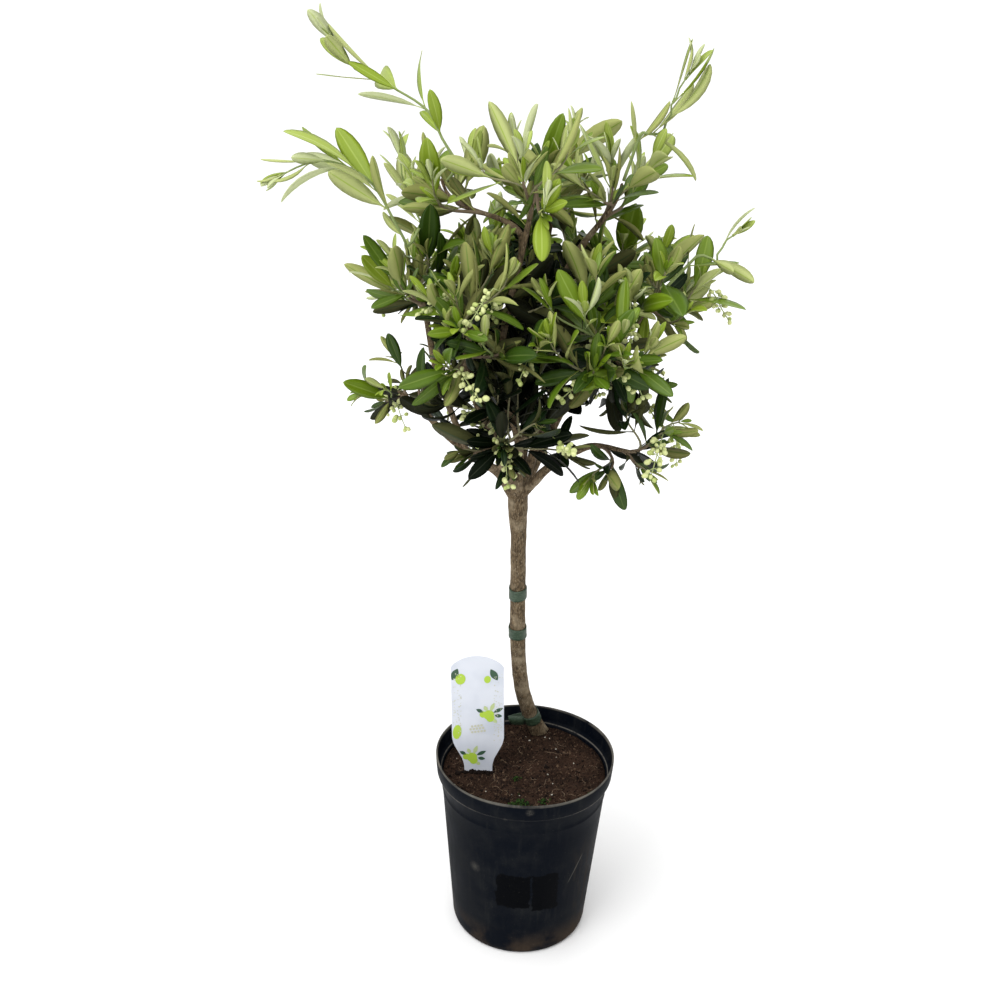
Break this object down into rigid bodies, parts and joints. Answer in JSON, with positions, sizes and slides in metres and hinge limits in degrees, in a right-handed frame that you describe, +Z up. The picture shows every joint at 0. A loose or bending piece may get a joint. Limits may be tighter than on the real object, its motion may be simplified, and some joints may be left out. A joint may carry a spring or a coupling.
{
  "type": "potted olive tree",
  "caption": "Young olive grown as a standard: a bare leaning stem with a round leafy crown of boughs and leading shoots, in a round nursery pot with a plant tag.",
  "frame": {"origin": "centre of the pot's flat underside", "axes": "+Z up; -Y is the side that the printed face of the plant tag looks to, and +X is to the right when looking at that face"},
  "size_m": [0.3998, 0.3286, 0.9453],
  "materials": {
    "pot_plastic": "thin black nursery pot plastic, scuffed and dusty",
    "potting_soil": "moist dark peat compost with crumbs, root hairs and perlite",
    "bark": "grey-brown young bark, finely speckled",
    "foliage": "leathery leaves, green above and silvery olive beneath",
    "label_card": "smooth white plastic plant tag with printed fruit and leaves",
    "tie_tape": "green stretch tying tape"
  },
  "bodies": {
    "root": {"pot": "pot_plastic", "soil": "potting_soil", "label": "label_card", "trunk": "bark", "bough_left_low": "bark", "bough_left": "bark", "bough_front_left": "bark", "bough_front": "bark", "bough_low_front": "bark", "bough_right_low": "bark", "bough_right": "bark", "bough_centre": "bark", "bough_back": "bark", "bough_back_right": "bark", "bough_back_left": "bark", "tie_upper": "tie_tape", "tie_lower": "tie_tape", "tie_base": "tie_tape", "foliage_low_right": "foliage", "foliage_low_back_right": "foliage", "foliage_low_back_left": "foliage", "foliage_low_left": "foliage", "foliage_low_front": "foliage", "foliage_mid_right": "foliage", "foliage_mid_back_right": "foliage", "foliage_mid_back_left": "foliage", "foliage_mid_left": "foliage", "foliage_mid_front_left": "foliage", "foliage_mid_front_right": "foliage", "foliage_top_right": "foliage", "foliage_top_back": "foliage", "foliage_top_left": "foliage", "foliage_top_front": "foliage", "leader_top_left": "foliage", "leader_left": "foliage", "leader_top_right": "foliage", "leader_right": "foliage", "leader_back": "foliage", "leader_back_left": "foliage"}
  },
  "joints": []
}
